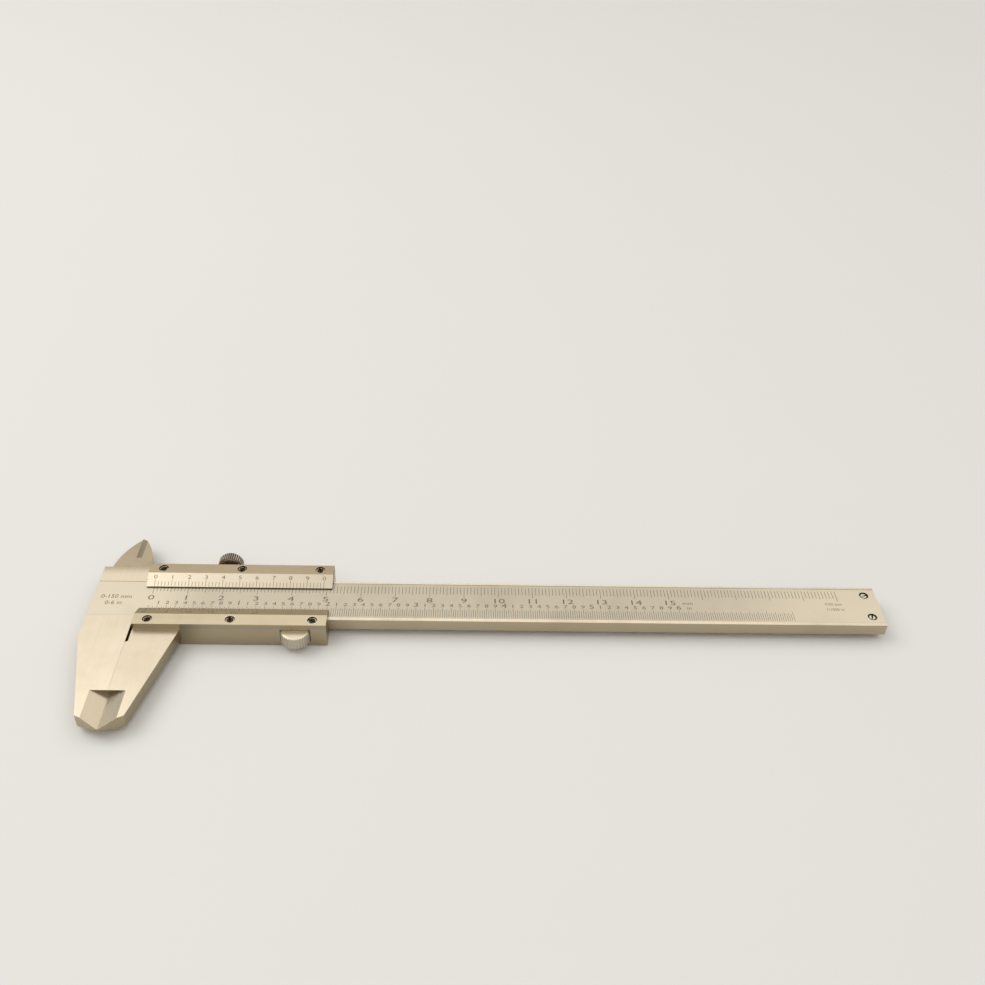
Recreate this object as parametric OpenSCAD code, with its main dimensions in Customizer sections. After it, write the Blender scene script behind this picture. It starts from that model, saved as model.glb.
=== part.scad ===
// Vernier caliper, 0-150 mm and 0-6 in, with knife-edge jaws, inside jaws, a depth rod,
// a locking screw and a knurled thumb roller.
//
// Every module is drawn in the caliper's own measuring coordinates, in millimetres:
// x = 0 is the plane where the outside jaws meet, y = 0 is the beam's centre line,
// and z = 0 is the beam's front face. placed() then moves it all so that the origin is
// at the middle of the caliper's footprint, on the surface that it lies on.

/* [Beam] */
// Longest distance that the jaws can open
measuring_range = 150; // [100:10:300]
// Width of the beam across its two sliding edges
beam_width = 16; // [14:0.5:20]
// Thickness of the beam and of the jaws
beam_thickness = 4; // [3.4:0.1:5]
// Chamfer along the beam's long edges
beam_chamfer = 0.25; // [0.1:0.05:0.5]
// Width of the bright raised land along each edge of the beam's front face
land_width = 0.9; // [0.5:0.1:1.5]
// Depth of the satin scale band below the lands
scale_recess = 0.06; // [0.02:0.01:0.15]

/* [Outside jaws] */
// Distance from the measuring plane to the outer side of the fixed head
head_width = 13.4; // [11:0.2:18]
// Reach of the outside jaws below the beam
jaw_depth = 39; // [32:1:60]
// Length below the beam over which the fixed jaw keeps its full width
jaw_shoulder = 6.9; // [5:0.1:10]
// Width of each jaw where its tip taper begins
jaw_tip_width = 6.3; // [5:0.1:9]
// Length of the tip taper
jaw_tip_length = 3; // [2:0.1:5]
// Blunt width left at each jaw's point
jaw_point = 0.4; // [0.2:0.1:1]
// Width of the moving jaw where it leaves the slider
moving_jaw_width = 13.9; // [11:0.1:18]
// Length of the thin knife-edge zone at the end of the jaws
knife_length = 11.6; // [6:0.2:16]
// Width of each knife-edge bevel
knife_width = 4.7; // [3:0.1:6]
// Thickness left at the knife edge
knife_land = 0.3; // [0.2:0.05:0.8]
// Length of the relief slot beside the moving jaw's measuring face, below the beam
relief_length = 9.3; // [6:0.1:14]

/* [Inside jaws] */
// Distance from the outside measuring plane to the inside one
nib_offset = 6; // [5:0.1:7]
// Greatest width of each inside jaw
nib_width = 6.2; // [5:0.1:6.4]
// Radius of the curved outer side of each inside jaw
nib_radius = 22.7; // [18:0.1:32]
// Blunt width left at each inside jaw's point
nib_point = 0.3; // [0.1:0.05:0.6]
// Height of the fixed head above the beam
head_rise = 5.4; // [4.8:0.1:7]
// Height above the beam where the inside knife edges begin
nib_knife_start = 9.6; // [8:0.1:12]
// Width of the inside jaws' bevels
nib_knife_width = 2.4; // [1.5:0.1:3.5]

/* [Slider] */
// Length of the slider along the beam
slider_length = 53.8; // [48:0.2:60]
// Gap between the measuring plane and the slider's left end, also the relief slot's width
slider_start = 0.8; // [0.6:0.1:1.5]
// Width of the slider's rail above and below the beam
rail_width = 4.65; // [4.4:0.05:6]
// Thickness of the slider's wall behind the beam
back_wall = 1.9; // [1.6:0.1:3]
// Clearance between the sliding surfaces
running_clearance = 0.05; // [0.02:0.01:0.1]
// Gap left between the two outside jaws when they are closed
closed_gap = 0.02; // [0.01:0.01:0.05]

/* [Vernier plates] */
// Thickness of the two vernier plates
plate_thickness = 2; // [1.6:0.1:2.6]
// Height of the plates' underside over the beam's front face
plate_gap = 0.15; // [0.05:0.05:0.3]
// Distance that each plate reaches over the beam
plate_reach = 3.5; // [2.5:0.1:4.5]
// Width of each plate's flat, screwed part
plate_flat = 4.1; // [3.8:0.1:5]
// Thickness of the thin edge beside the scale
plate_edge = 0.25; // [0.15:0.05:0.5]
// Distance from each end of a plate to its outer screws
screw_inset = 4; // [3:0.1:8]

/* [Screws] */
// Thread diameter of the plate screws
plate_screw_d = 1.3; // [1.2:0.1:1.6]
// Head diameter of the plate screws
plate_head_d = 2.5; // [2:0.1:2.8]
// Head height of the plate screws
plate_head_h = 0.9; // [0.7:0.1:1.1]
// Depth that a screw head lies below its plate
head_sink = 0.3; // [0.1:0.05:0.5]
// Radial clearance around a sunk screw head
head_clearance = 0.12; // [0.05:0.01:0.2]
// Thread diameter of the end stop's screws
stop_screw_d = 1.6; // [1.4:0.1:2]
// Head diameter of the end stop's screws
stop_head_d = 2.5; // [2.2:0.1:3]
// Distance between the end stop's screws
stop_screw_spacing = 9.1; // [8:0.1:10]

/* [Locking screw] */
// Distance from the middle screw of the metric plate to the locking screw
lock_offset = 4.8; // [4:0.1:8]
// Thread diameter of the locking screw
lock_thread_d = 3; // [2.5:0.5:3]
// Outer diameter of its knurled head
lock_head_d = 7.4; // [6:0.1:9]
// Length of the knurled band
lock_knurl_length = 2.4; // [1.5:0.1:5]
// Distance from the slider's edge to the head when the screw is loose
lock_head_gap = 2.9; // [1.5:0.1:5]
// Number of knurl teeth on the locking screw
lock_teeth = 36; // [24:2:60]

/* [Thumb roller] */
// Diameter of the roller
roller_d = 8.3; // [7:0.1:10]
// Clearance around the roller in its pocket
roller_clearance = 0.1; // [0.08:0.01:0.3]
// Gap between the roller's knurl and the beam's edge
roller_gap = 0.03; // [0.02:0.01:0.1]
// Diameter of the roller's axle
roller_axle_d = 2; // [1.5:0.1:2.4]
// Number of knurl teeth on the roller
roller_teeth = 32; // [20:2:48]

/* [Depth rod and end stop] */
// Width of the depth rod
rod_width = 3.2; // [2.4:0.1:4]
// Thickness of the depth rod
rod_thickness = 1.7; // [1.2:0.1:2]
// Distance from the measuring plane to the rod's fixed end
rod_start = 30; // [26:1:40]
// Length of the end stop along the beam
stop_length = 6; // [5:0.1:10]
// Thickness of the end stop
stop_thickness = 1; // [0.8:0.1:1.5]
// Travel left between the slider and the end stop at the longest reading
overtravel = 4; // [1:0.1:5]

/* [Gib spring] */
// Length of the leaf spring in the upper rail
gib_length = 38; // [30:1:42]
// Thickness of the leaf spring
gib_thickness = 0.3; // [0.2:0.05:0.4]
// Depth of the spring's recess in the upper rail
gib_recess = 0.95; // [0.8:0.05:1.2]

/* [Hidden] */
$fn = 96;
cut = 1;                                   // how far a cutting tool runs past what it cuts
overlap = 0.01;                            // how far the pieces of one solid run into each other
half_beam = beam_width / 2;
mid_z = -beam_thickness / 2;
half_gap = running_clearance / 2;          // the halves of the inside jaws each give up this much

// Slider, measured outwards from the beam
rail_inner = half_beam + running_clearance;
rail_outer = rail_inner + rail_width;
slider_end = slider_start + slider_length;
slider_mid = (slider_start + slider_end) / 2;
wall_top = -beam_thickness - running_clearance;
wall_bottom = wall_top - back_wall;
frame_chamfer = 0.4;
knurl_step = 0.04;                         // plain ends stop this far inside the roots of a knurl

// Fixed head and jaws
head_top = half_beam + head_rise;
jaw_tip_y = -half_beam - jaw_depth;
knife_depth = (beam_thickness - knife_land) / 2;
nib_x = -nib_offset;
nib_spring_y = rail_outer;                 // the nib's curve springs from the slider's top edge
nib_tip_y = nib_spring_y + sqrt(pow(nib_radius, 2) - pow(nib_radius - nib_width + nib_point, 2));
nib_knife_y = half_beam + nib_knife_start;
nib_knife_depth = beam_thickness / 2 - knife_land;
relief_r = 0.45;

// Vernier plates
plate_inner = half_beam - plate_reach;
plate_outer = rail_outer;
plate_top = plate_gap + plate_thickness;
plate_screw_y = plate_outer - plate_flat / 2;
plate_chamfer = 0.15;
plate_screw_x = [slider_start + screw_inset, slider_mid, slider_end - screw_inset];
plate_head_top = plate_top - head_sink;
plate_thread_depth = 2.4;
slot_width = 0.4;
slot_depth = 0.4;
tip_room = 0.15;                           // left between a screw's tip and the end of its hole
shank_clearance = 0.05;

// Beam end, depth rod and end stop
stop_inset = 0.4;                          // the stop ends just short of the beam's end face
stop_start = slider_end + measuring_range + overtravel;
beam_end = stop_start + stop_length + stop_inset;
stop_screw_x = stop_start + stop_length / 2;
stop_chamfer = 0.2;
stop_head_top = -scale_recess - 0.2;
stop_head_h = 1;
groove_clearance = 0.1;
groove_width = rod_width + 2 * groove_clearance;
groove_depth = rod_thickness + 2 * groove_clearance;
groove_start = rod_start - groove_width / 2 - 0.5;
rod_back = -beam_thickness + running_clearance;
rod_boss_length = 12;
rod_screw_x = [rod_start + rod_boss_length / 4, rod_start + 3 * rod_boss_length / 4];
rod_screw_d = 1.4;
rod_head_d = 2.6;
rod_head_h = 0.8;
rod_head_sink = 0.1;
rod_screw_reach = 1.2;                     // how far a rod screw goes into the rod
rod_notch = 1;                             // relief at the rod's tip, for fillets in a blind hole

// Thumb roller, which just clears the beam's lower edge
roller_r = roller_d / 2;
roller_pocket_r = roller_r + roller_clearance;
roller_y = -half_beam - roller_gap - roller_r;
roller_to_screw = roller_pocket_r + plate_screw_d / 2 + roller_clearance;
roller_x = plate_screw_x[2] - sqrt(pow(roller_to_screw, 2) - pow(roller_y + plate_screw_y, 2));
roller_top = plate_gap - running_clearance;
roller_bottom = wall_top + running_clearance;
roller_rim = 0.25;
axle_clearance = 0.04;
roller_tooth = 0.16;

// Locking screw and its brass pad
lock_x = slider_mid - lock_offset;
lock_thread_r = lock_thread_d / 2;
lock_clearance = 0.05;
gib_face = rail_inner + gib_recess;
gib_gap = 0.03;                            // left between the spring's middle and the beam
gib_touch = half_beam + gib_gap;
gib_sag = gib_face - gib_thickness - gib_touch;
gib_bend_r = (pow(gib_length / 2, 2) + pow(gib_sag, 2)) / (2 * gib_sag);
gib_height = beam_thickness - 1.4;
gib_end_room = 0.4;
pad_gap = 0.12;                            // between the pad's far edge and the bowed spring when loose
pad_clearance = 0.2;
pad_r = lock_thread_r - pad_clearance;
gib_rise = pow(lock_offset + pad_r, 2) / (2 * gib_bend_r); // of the spring at the pad's far edge
pad_start = gib_touch + gib_thickness + gib_rise + pad_gap;
pad_length = 1.6;
lock_neck_chamfer = 0.35;
lock_head_start = rail_outer + lock_head_gap;
lock_head_r = lock_head_d / 2;
lock_tooth = 0.18;
lock_crown = 0.7;
lock_collar_r = lock_thread_r + 0.6;
lock_collar_h = 0.7;

// Moves measuring coordinates to the part's own frame.
module placed() {
    middle_x = (beam_end - head_width) / 2;
    middle_y = (nib_tip_y + jaw_tip_y) / 2;
    translate([-middle_x, -middle_y, -wall_bottom]) children();
}

// A flat outline in x and y, from one height to another.
module slab(bottom, top) {
    translate([0, 0, bottom]) linear_extrude(height = top - bottom) children();
}

// A profile given as [y, z] points, run along x.
module run_along_x(start, end, profile) {
    translate([start, 0, 0]) rotate([90, 0, 90]) linear_extrude(height = end - start) polygon(profile);
}

// A block from its lowest corner to its highest.
module block(low, high) {
    translate(low) cube(high - low);
}

// An upright cylinder between two heights.
module post(x, y, bottom, top, r) {
    translate([x, y, bottom]) cylinder(h = top - bottom, r = r);
}

// A cylinder or cone that runs towards +y.
module along_y(x, z, start, end, r1, r2) {
    translate([x, start, z]) rotate([-90, 0, 0]) cylinder(h = end - start, r1 = r1, r2 = r2);
}

// Star-shaped outline of a straight knurl.
module knurl_outline(r, depth, teeth) {
    polygon([for (i = [0 : 2 * teeth - 1])
        let (a = i * 180 / teeth, reach = r - depth * (i % 2)) [reach * cos(a), reach * sin(a)]]);
}

// Screw with a slotted cylindrical head, pointing down from the head's top face.
module slotted_screw(x, y, head_top, head_h, head_d, shank_end, shank_d, slot_turn) {
    difference() {
        union() {
            post(x, y, head_top - head_h, head_top, head_d / 2);
            post(x, y, shank_end, head_top - head_h + overlap, shank_d / 2);
        }
        translate([x, y, head_top]) rotate([0, 0, slot_turn])
            cube([head_d + cut, slot_width, 2 * slot_depth], center = true);
    }
}

// ---- Beam with the fixed jaws ----

// Outline of the fixed outside jaw and the head above it, up to the beam's top edge.
module fixed_jaw_outline() {
    polygon([
        [0, half_beam], [0, jaw_tip_y], [-jaw_point, jaw_tip_y],
        [-jaw_tip_width, jaw_tip_y + jaw_tip_length],
        [-head_width, -half_beam - jaw_shoulder], [-head_width, half_beam]
    ]);
}

// Curved fin of an inside jaw, on the side of the inside plane that "side" names (1 or -1).
module nib_outline(side, bottom_y) {
    left = side > 0 ? nib_x : nib_x - nib_width;
    intersection() {
        translate([nib_x + side * (nib_width - nib_radius), nib_spring_y])
            circle(r = nib_radius, $fn = 180);
        translate([left, nib_spring_y]) square([nib_width, nib_tip_y - nib_spring_y]);
    }
    translate([left, bottom_y]) square([nib_width, nib_spring_y - bottom_y + overlap]);
}

// V-shaped cutter that thins both outside jaws towards the measuring plane, from one face.
module knife_cutter(face_z, inward) {
    translate([0, jaw_tip_y + knife_length, 0]) rotate([90, 0, 0])
        linear_extrude(height = knife_length + cut)
            polygon([
                [-knife_width * (1 + cut / knife_depth), face_z - inward * cut],
                [0, face_z + inward * knife_depth],
                [knife_width * (1 + cut / knife_depth), face_z - inward * cut]
            ]);
}

// Wedge that thins an inside jaw towards the inside plane. side is the jaw's side of it.
module nib_cutter(side, face_z, inward) {
    translate([0, nib_tip_y + cut, 0]) rotate([90, 0, 0])
        linear_extrude(height = nib_tip_y + cut - nib_knife_y)
            polygon([
                [nib_x - side * cut, face_z - inward * cut],
                [nib_x - side * cut, face_z + inward * nib_knife_depth],
                [nib_x, face_z + inward * nib_knife_depth],
                [nib_x + side * nib_knife_width, face_z],
                [nib_x + side * nib_knife_width, face_z - inward * cut]
            ]);
}

module beam_bar() {
    c = beam_chamfer;
    h = half_beam;
    t = beam_thickness;
    run_along_x(-overlap, beam_end, [
        [-h, -c], [-h + c, 0], [h - c, 0], [h, -c],
        [h, c - t], [h - c, -t], [-h + c, -t], [-h, c - t]
    ]);
}

module rod_groove() {
    top = -beam_thickness + groove_depth;
    half = groove_width / 2;
    block([groove_start, -half, -beam_thickness - cut], [beam_end + cut, half, top]);
    post(groove_start, 0, -beam_thickness - cut, top, half);
}

module scale_recess_cutter() {
    half = half_beam - land_width;
    block([-head_width - cut, -half, -scale_recess], [beam_end + cut, half, cut]);
}

module stop_screw_hole(side) {
    y = side * stop_screw_spacing / 2;
    post(stop_screw_x, y, -beam_thickness - cut, cut, stop_screw_d / 2 + shank_clearance);
    post(stop_screw_x, y, stop_head_top - stop_head_h, cut, stop_head_d / 2 + head_clearance);
}

module beam() {
    color("silver") difference() {
        union() {
            beam_bar();
            slab(-beam_thickness, 0) fixed_jaw_outline();
            slab(mid_z + half_gap, 0) {
                translate([-head_width, half_beam - overlap])
                    square([head_width - nib_offset, head_rise + overlap]);
                nib_outline(1, half_beam - overlap);
            }
        }
        knife_cutter(0, -1);
        knife_cutter(-beam_thickness, 1);
        nib_cutter(1, 0, -1);
        post(nib_x - relief_r / 2, head_top, mid_z - cut, cut, relief_r);
        scale_recess_cutter();
        rod_groove();
        for (side = [-1, 1]) stop_screw_hole(side);
    }
}

// ---- Slider ----

module frame_channel() {
    c = frame_chamfer;
    o = rail_outer;
    i = rail_inner;
    run_along_x(slider_start, slider_end, [
        [-o, plate_gap], [-o, wall_bottom + c], [-o + c, wall_bottom], [o - c, wall_bottom],
        [o, wall_bottom + c], [o, plate_gap], [i, plate_gap], [i, wall_top], [-i, wall_top], [-i, plate_gap]
    ]);
}

module moving_jaw_outline() {
    relief_end = -half_beam - relief_length;
    polygon([
        [slider_start, -rail_inner], [slider_start, relief_end],
        [closed_gap, relief_end - slider_start / 2], [closed_gap, jaw_tip_y], [jaw_point, jaw_tip_y],
        [jaw_tip_width, jaw_tip_y + jaw_tip_length], [moving_jaw_width, -rail_outer],
        [moving_jaw_width, -rail_inner]
    ]);
}

module moving_nib() {
    difference() {
        slab(-beam_thickness, mid_z - half_gap) {
            nib_outline(-1, rail_inner);
            translate([nib_x - overlap, rail_inner]) square([nib_offset + slider_start + cut, rail_width]);
        }
        nib_cutter(-1, -beam_thickness, 1);
        post(nib_x + relief_r / 2, rail_outer, -beam_thickness - cut, cut, relief_r);
    }
}

module roller_pocket() {
    post(roller_x, roller_y, wall_top, plate_gap + cut, roller_pocket_r);
    post(roller_x, roller_y, wall_bottom - cut, 0, roller_axle_d / 2);
}

module lock_hole() {
    along_y(lock_x, mid_z, rail_inner, rail_outer + cut, lock_thread_r, lock_thread_r);
}

module gib_pocket() {
    half = gib_length / 2 + gib_end_room;
    block([slider_mid - half, rail_inner - cut, wall_top], [slider_mid + half, gib_face, plate_gap + cut]);
}

module plate_thread_hole(x, side) {
    post(x, side * plate_screw_y, plate_gap - plate_thread_depth, plate_gap + cut, plate_screw_d / 2);
}

module rod_screw_hole(x) {
    post(x, 0, wall_bottom - cut, wall_top + cut, rod_screw_d / 2 + shank_clearance);
    seat = wall_bottom + rod_head_sink + rod_head_h;
    post(x, 0, wall_bottom - cut, seat, rod_head_d / 2 + shank_clearance);
}

module slider_frame() {
    color("silver") difference() {
        union() {
            frame_channel();
            difference() {
                slab(-beam_thickness, 0) moving_jaw_outline();
                knife_cutter(0, -1);
                knife_cutter(-beam_thickness, 1);
            }
            moving_nib();
        }
        gib_pocket();
        lock_hole();
        roller_pocket();
        for (x = plate_screw_x) for (side = [-1, 1]) plate_thread_hole(x, side);
        for (x = rod_screw_x) rod_screw_hole(x);
    }
}

// ---- Vernier plates and their screws ----

// side is 1 for the metric plate above the beam and -1 for the inch plate below it.
module vernier_plate(side) {
    c = plate_chamfer;
    flat_start = plate_outer - plate_flat;
    shank_hole_r = plate_screw_d / 2 + shank_clearance;
    head_hole_r = plate_head_d / 2 + head_clearance;
    color("gainsboro") difference() {
        run_along_x(slider_start, slider_end, [for (p = [
            [plate_inner, plate_gap], [plate_inner, plate_gap + plate_edge], [flat_start, plate_top],
            [plate_outer - c, plate_top], [plate_outer, plate_top - c], [plate_outer, plate_gap]
        ]) [side * p[0], p[1]]]);
        for (x = plate_screw_x) {
            post(x, side * plate_screw_y, plate_gap - cut, plate_top + cut, shank_hole_r);
            post(x, side * plate_screw_y, plate_head_top - plate_head_h, plate_top + cut, head_hole_r);
        }
    }
}

module plate_screw(index, side, slot_turn) {
    color("dimgray") slotted_screw(
        plate_screw_x[index - 1], side * plate_screw_y, plate_head_top, plate_head_h,
        plate_head_d, plate_gap - plate_thread_depth + tip_room, plate_screw_d, slot_turn
    );
}

// ---- Locking screw, its pad and the gib spring ----

// Bowed leaf spring: its middle bears on the beam and its ends on the rail.
module gib_spring() {
    centre_y = gib_touch + gib_bend_r;
    color("darkgoldenrod") translate([slider_mid, 0, mid_z]) difference() {
        translate([0, centre_y, -gib_height / 2]) cylinder(h = gib_height, r = gib_bend_r, $fn = 256);
        translate([0, centre_y, -gib_height / 2 - cut])
            cylinder(h = gib_height + 2 * cut, r = gib_bend_r - gib_thickness, $fn = 256);
        for (side = [-1, 1]) {
            translate([side * (gib_length / 2 + gib_bend_r + cut), centre_y, 0])
                cube([2 * (gib_bend_r + cut), 3 * gib_bend_r, gib_height + 2 * cut], center = true);
        }
        translate([0, centre_y + gib_bend_r, 0])
            cube([gib_length + 4 * cut, 2 * gib_bend_r, gib_height + 2 * cut], center = true);
    }
}

module lock_pad() {
    color("goldenrod") along_y(lock_x, mid_z, pad_start, pad_start + pad_length, pad_r, pad_r);
}

module lock_screw() {
    shank_r = lock_thread_r - lock_clearance;
    collar_start = lock_head_start - lock_collar_h;
    knurl_start = lock_head_start + lock_neck_chamfer;
    knurl_end = knurl_start + lock_knurl_length;
    body_r = lock_head_r - lock_tooth - knurl_step;
    color("silver") union() {
        along_y(lock_x, mid_z, pad_start + pad_length, lock_head_start, shank_r, shank_r);
        along_y(lock_x, mid_z, collar_start, lock_head_start + overlap, lock_collar_r, lock_collar_r);
        along_y(lock_x, mid_z, lock_head_start, knurl_start, body_r - lock_neck_chamfer, body_r);
        translate([lock_x, knurl_end, mid_z]) rotate([90, 0, 0])
            linear_extrude(height = lock_knurl_length) knurl_outline(lock_head_r, lock_tooth, lock_teeth);
        along_y(lock_x, mid_z, knurl_end, knurl_end + lock_crown, body_r, body_r - lock_crown);
    }
}

// ---- Depth rod and end stop ----

module depth_rod() {
    half = rod_width / 2;
    color("silver") difference() {
        union() {
            block([rod_start, -half, rod_back], [beam_end, half, rod_back + rod_thickness]);
            block([rod_start, -half, wall_top], [rod_start + rod_boss_length, half, rod_back + overlap]);
        }
        for (x = rod_screw_x) post(x, 0, wall_top - cut, wall_top + rod_screw_reach, rod_screw_d / 2);
        translate([beam_end - rod_notch, -half, rod_back - cut]) rotate([0, 0, -45])
            cube([2 * rod_notch, 2 * rod_notch, rod_thickness + 2 * cut]);
    }
}

// Driven in from the back, so this screw is drawn head down.
module depth_rod_screw(index) {
    head = wall_bottom + rod_head_sink;
    tip = wall_top + rod_screw_reach - tip_room;
    color("dimgray") translate([rod_screw_x[index - 1], 0, 0]) rotate([180, 0, 0])
        slotted_screw(0, 0, -head, rod_head_h, rod_head_d, -tip, rod_screw_d, 25 * index);
}

module end_stop_plate() {
    c = stop_chamfer;
    half = half_beam - 1.2;
    top = -beam_thickness;
    low = top - stop_thickness;
    color("gainsboro") difference() {
        run_along_x(stop_start, stop_start + stop_length, [
            [-half, top], [-half, low + c], [-half + c, low], [half - c, low], [half, low + c], [half, top]
        ]);
        for (side = [-1, 1])
            post(stop_screw_x, side * stop_screw_spacing / 2, low - cut, top + cut, stop_screw_d / 2);
    }
}

module end_stop_screw(index) {
    side = index == 1 ? 1 : -1;
    color("gray") slotted_screw(
        stop_screw_x, side * stop_screw_spacing / 2, stop_head_top, stop_head_h,
        stop_head_d, -beam_thickness - stop_thickness + tip_room, stop_screw_d, index == 1 ? 20 : 75
    );
}

// ---- Thumb roller ----

module thumb_roller() {
    end_r = roller_r - roller_tooth - knurl_step;
    color("silver") translate([roller_x, roller_y, 0]) difference() {
        union() {
            slab(roller_bottom + roller_rim, roller_top - roller_rim)
                knurl_outline(roller_r, roller_tooth, roller_teeth);
            translate([0, 0, roller_top - roller_rim])
                cylinder(h = roller_rim, r1 = end_r, r2 = end_r - roller_rim);
            translate([0, 0, roller_bottom])
                cylinder(h = roller_rim, r1 = end_r - roller_rim, r2 = end_r);
        }
        post(0, 0, roller_bottom - cut, roller_top + cut, roller_axle_d / 2 + axle_clearance);
    }
}

module roller_axle() {
    color("gray") post(roller_x, roller_y, wall_bottom + tip_room, roller_top, roller_axle_d / 2);
}

placed() beam();
placed() slider_frame();
placed() vernier_plate(1);  // metric_vernier_plate
placed() vernier_plate(-1);  // inch_vernier_plate
for (i = [1:3]) {
    placed() plate_screw(i, 1, 35 * i);
    placed() plate_screw(i, -1, 50 * i);
}
placed() gib_spring();
placed() lock_pad();
placed() lock_screw();
placed() depth_rod();
placed() end_stop_plate();
for (i = [1:2]) {
    placed() depth_rod_screw(i);
    placed() end_stop_screw(i);
}
placed() thumb_roller();
placed() roller_axle();
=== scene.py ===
import math

import bmesh
import bpy
from bpy.props import FloatProperty, FloatVectorProperty, PointerProperty
from mathutils import Matrix, Vector
from mathutils.bvhtree import BVHTree


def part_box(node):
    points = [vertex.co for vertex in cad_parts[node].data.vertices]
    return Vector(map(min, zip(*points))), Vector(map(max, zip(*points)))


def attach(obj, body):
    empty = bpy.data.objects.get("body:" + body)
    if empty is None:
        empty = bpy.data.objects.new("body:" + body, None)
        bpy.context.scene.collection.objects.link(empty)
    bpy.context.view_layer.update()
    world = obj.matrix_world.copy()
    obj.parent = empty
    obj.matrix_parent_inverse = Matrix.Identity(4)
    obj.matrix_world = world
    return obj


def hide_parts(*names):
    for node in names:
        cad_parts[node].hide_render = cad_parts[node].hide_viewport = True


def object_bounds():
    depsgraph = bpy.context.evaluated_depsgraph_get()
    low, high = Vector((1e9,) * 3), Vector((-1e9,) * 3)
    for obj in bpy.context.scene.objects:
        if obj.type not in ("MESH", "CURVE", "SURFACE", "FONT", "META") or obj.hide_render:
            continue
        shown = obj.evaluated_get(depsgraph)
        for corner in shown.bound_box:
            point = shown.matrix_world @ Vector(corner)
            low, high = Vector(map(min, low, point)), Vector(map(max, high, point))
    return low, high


bl_info = {
    "name": "Vernier Caliper",
    "version": (1, 0, 0),
    "blender": (4, 5, 0),
    "location": "3D View > Sidebar > Caliper",
    "description": "Finishes a vernier caliper with rounded edges, knurls, engraved scales and steel",
    "category": "Object",
}

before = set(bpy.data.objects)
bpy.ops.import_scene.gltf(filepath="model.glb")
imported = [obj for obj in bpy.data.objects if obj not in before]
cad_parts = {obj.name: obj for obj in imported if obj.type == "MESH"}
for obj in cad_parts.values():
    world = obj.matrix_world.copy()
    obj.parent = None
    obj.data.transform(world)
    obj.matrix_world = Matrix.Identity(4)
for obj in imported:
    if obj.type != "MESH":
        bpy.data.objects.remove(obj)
cad_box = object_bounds()

MM = 0.001
INCH = 25.4

# Measuring coordinates, in millimetres: x = 0 where the outside jaws meet, y = 0 on the beam's centre line,
# z = 0 on the beam's front face.
SLIDER_GAP = 0.8
METRIC_LOW, METRIC_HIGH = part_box("metric_vernier_plate")
INCH_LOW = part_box("inch_vernier_plate")[0]
BEAM_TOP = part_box("beam")[1].z
ZERO = Vector((METRIC_LOW.x - SLIDER_GAP * MM, (METRIC_HIGH.y + INCH_LOW.y) / 2, BEAM_TOP))


def place(x, y, z=0.0):
    """A point given in measuring coordinates, in the frame's own metres."""
    return ZERO + Vector((x, y, z)) * MM


# ---- What a user would change ----

def length(name, description, default):
    """A size in metres, shown in the scene's own unit."""
    return FloatProperty(
        name=name, description=description, default=default, min=0.0, precision=6,
        unit="LENGTH", subtype="DISTANCE"
    )


def colour(name, description, default):
    """A colour swatch, in linear values."""
    return FloatVectorProperty(
        name=name, description=description, default=default, size=4, min=0.0, max=1.0, subtype="COLOR"
    )


def angle(name, description, degrees):
    """An angle, given in degrees and kept in radians."""
    return FloatProperty(
        name=name, description=description, default=math.radians(degrees), unit="ROTATION", subtype="ANGLE"
    )


def share(name, description, default):
    """A number from 0 to 1."""
    return FloatProperty(
        name=name, description=description, default=default, min=0.0, max=1.0, subtype="FACTOR"
    )


class CaliperEdges(bpy.types.PropertyGroup):
    """How far the sharp edges of each kind of piece are broken."""

    body: length("Body edges", "Rounding of the beam's and slider's edges", 0.00003)
    plate: length("Plate edges", "Rounding of the vernier plates' edges", 0.00005)
    screw: length("Screw edges", "Rounding of the screws' heads and slots", 0.00006)


class CaliperMarks(bpy.types.PropertyGroup):
    """Sizes of the engraved lines and numbers."""

    zero: length("Zero mark", "Distance from the closed jaws' plane to the zero marks", 0.0031)
    line_width: length("Line width", "Width of the scale's lines", 0.00014)
    line_height: length("Fill height", "How far the dark fill stands proud of the steel", 0.000006)
    number_height: length("Number height", "Height of the metric scale's numbers", 0.0019)
    inch_number_height: length("Inch number height", "Height of the whole inches' numbers", 0.0017)
    tenth_height: length("Tenth height", "Height of the numbers between whole inches", 0.0013)
    vernier_height: length("Vernier number height", "Height of the numbers on the vernier plates", 0.0012)


class CaliperColours(bpy.types.PropertyGroup):
    """Colours and gloss of the finishes."""

    steel: colour("Ground steel", "Jaws, rails and edges", (0.88, 0.79, 0.64, 1.0))
    satin: colour("Scale band", "Satin chrome behind the scales", (0.74, 0.68, 0.56, 1.0))
    matt_plate: colour("Metric plate", "Blasted flat of the metric plate", (0.50, 0.42, 0.30, 1.0))
    plate: colour("Brushed plate", "Brushed flat of the inch plate", (0.70, 0.62, 0.46, 1.0))
    knurl: colour("Locking screw", "Knurled locking screw", (0.32, 0.26, 0.19, 1.0))
    roller: colour("Roller", "Knurled thumb roller", (0.86, 0.78, 0.63, 1.0))
    screw: colour("Blackened screw", "Plate screws", (0.060, 0.045, 0.036, 1.0))
    # This colour is painted shade, laid into holes, slots, knurl grooves, corners and steps, onto the
    # locking screw's neck and round the end stop's screws.
    grime: colour("Grime", "Oil and dust in corners and holes", (0.045, 0.032, 0.022, 1.0))
    ink: colour("Scale ink", "Fill of the lines and numbers", (0.125, 0.115, 0.085, 1.0))
    brass: colour("Brass", "Pad under the locking screw", (0.70, 0.50, 0.20, 1.0))
    floor: colour("Floor", "Pale floor under the caliper", (0.79, 0.805, 0.82, 1.0))
    gloss: share("Roughness", "Roughness of the ground steel", 0.30)


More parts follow.
